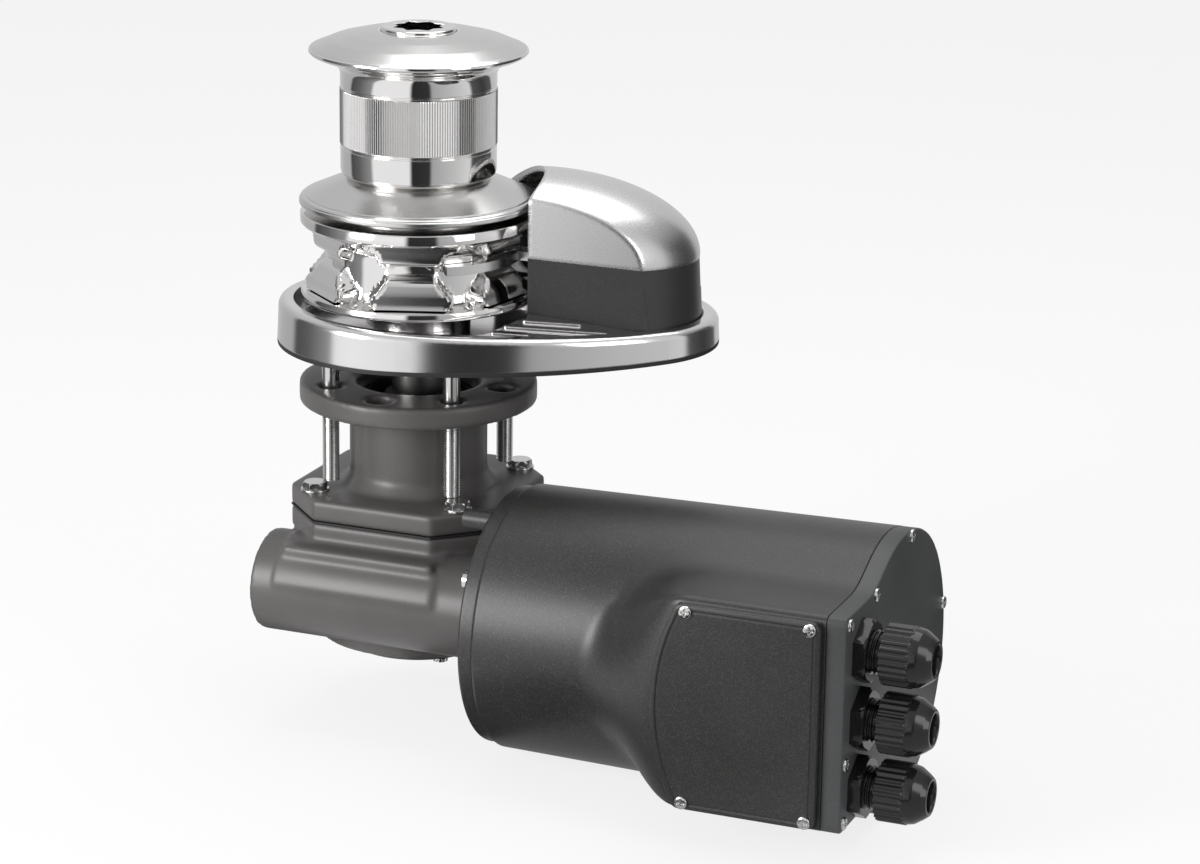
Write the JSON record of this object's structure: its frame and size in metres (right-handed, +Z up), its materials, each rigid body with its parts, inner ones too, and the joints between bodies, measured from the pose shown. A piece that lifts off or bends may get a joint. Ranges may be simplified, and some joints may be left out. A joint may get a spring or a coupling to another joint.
{
  "type": "anchor windlass",
  "caption": "Vertical electric anchor windlass: rope drum and chain gypsy over a clutch on the deck base, worm gearbox and enclosed motor below deck.",
  "frame": {"origin": "on the main shaft's axis, at the level of the deck, which is the underside of the base's gasket", "axes": "+Z up along the main shaft, +X along the motor from the worm to the cable glands, +Y away from the terminal box"},
  "size_m": [0.35, 0.2191, 0.319],
  "materials": {
    "polished_steel": "polished stainless steel",
    "satin_steel": "satin stainless steel",
    "bright_fixings": "stainless screws and studs",
    "gear_casting": "dark grey satin paint on aluminium",
    "cover_paint": "near black, finely speckled paint on steel",
    "end_plate": "dark grey speckled paint on aluminium",
    "black_plastic": "satin black plastic",
    "gland_plastic": "glossy black nylon",
    "rubber": "black rubber",
    "inner_steel": "machined carbon steel",
    "bronze": "machined bronze",
    "copper": "enamelled copper",
    "magnet": "ferrite",
    "can_steel": "plated steel"
  },
  "bodies": {
    "housing": {"base_gasket": "rubber", "deck_base": "polished_steel", "base_bush": "bronze", "oil_seals": "rubber", "deck_studs": "bright_fixings", "chain_stripper": "satin_steel", "base_screws": "bright_fixings", "cover_body": "black_plastic", "lever_pin": "bright_fixings", "lever_spring": "inner_steel", "gearbox_top": "gear_casting", "gearbox_bolts": "bright_fixings", "gearbox_gasket": "rubber", "gearbox_body": "gear_casting", "bottom_cover": "gear_casting", "bottom_cover_screws": "bright_fixings", "shaft_bearing_outers": "inner_steel", "shaft_bearing_balls": "inner_steel", "worm_end_plug": "gear_casting", "worm_bearing_outers": "inner_steel", "worm_bearing_balls": "inner_steel", "motor_flange": "cover_paint", "motor_flange_screws": "bright_fixings", "motor_can": "can_steel", "motor_magnets": "magnet", "motor_rear_shield": "can_steel", "motor_tie_rods": "inner_steel", "brush_holders": "black_plastic", "brushes": "magnet", "motor_cover": "cover_paint", "terminal_lid": "cover_paint", "lid_gasket": "rubber", "lid_screws": "bright_fixings", "end_cap": "end_plate", "end_cap_screws": "bright_fixings", "terminal_block": "black_plastic", "terminal_studs": "bronze", "gland_bodies": "gland_plastic", "gland_seals": "rubber", "gland_dome_nuts": "gland_plastic"},
    "armature": {"worm_shaft": "inner_steel", "worm_bearing_inners": "inner_steel", "armature_core": "inner_steel", "armature_windings": "copper", "commutator": "copper"},
    "main_shaft": {"main_shaft": "satin_steel", "shaft_bearing_inners": "inner_steel", "worm_wheel": "bronze", "shaft_keys": "inner_steel", "lower_clutch_cone": "satin_steel", "shaft_circlips": "inner_steel", "release_spring": "inner_steel"},
    "gypsy": {"gypsy": "polished_steel"},
    "drum": {"drum": "polished_steel", "upper_clutch_cone": "satin_steel", "thrust_washer": "bronze"},
    "clutch_nut": {"clutch_nut": "polished_steel"},
    "pressure_lever": {"pressure_lever": "black_plastic"},
    "cover_shell": {"cover_shell": "polished_steel"},
    "cover_latch": {"cover_latch": "black_plastic"}
  },
  "joints": [
    {"name": "worm_spin", "type": "hinge", "parent": "housing", "child": "armature", "pos_m": [0, -0.045, -0.11], "axis": [1, 0, 0], "continuous": true},
    {"name": "shaft_spin", "type": "hinge", "parent": "housing", "child": "main_shaft", "pos_m": [0, 0, 0], "axis": [0, 0, 1], "continuous": true},
    {"name": "gypsy_spin", "type": "hinge", "parent": "main_shaft", "child": "gypsy", "pos_m": [0, 0, 0.041], "axis": [0, 0, 1], "continuous": true},
    {"name": "clutch_release", "type": "slide", "parent": "main_shaft", "child": "drum", "axis": [0, 0, 1], "range_m": [0, 0.002], "deforming": ["release_spring"]},
    {"name": "clutch_nut_turn", "type": "hinge", "parent": "drum", "child": "clutch_nut", "pos_m": [0, 0, 0.13], "axis": [0, 0, 1], "range_deg": [0, 360]},
    {"name": "lever_swing", "type": "hinge", "parent": "housing", "child": "pressure_lever", "pos_m": [0.1, 0.028, 0.044], "axis": [0, 0, 1], "range_deg": [-18, 0], "stiffness_Nm_per_rad": 0.2},
    {"name": "cover_lift", "type": "slide", "parent": "housing", "child": "cover_shell", "axis": [0, 0, 1], "range_m": [0, 0.06]},
    {"name": "latch_press", "type": "hinge", "parent": "housing", "child": "cover_latch", "pos_m": [0.11543, 0.05383, 0.03912], "axis": [0.4226, -0.9063, 0], "range_deg": [-3, 0], "stiffness_Nm_per_rad": 0.1}
  ],
  "couplings": [
    {"joint": "shaft_spin", "follows": "worm_spin", "ratio": -0.027778},
    {"joint": "clutch_nut_turn", "follows": "clutch_release", "rad_per_m": 3141.6}
  ]
}
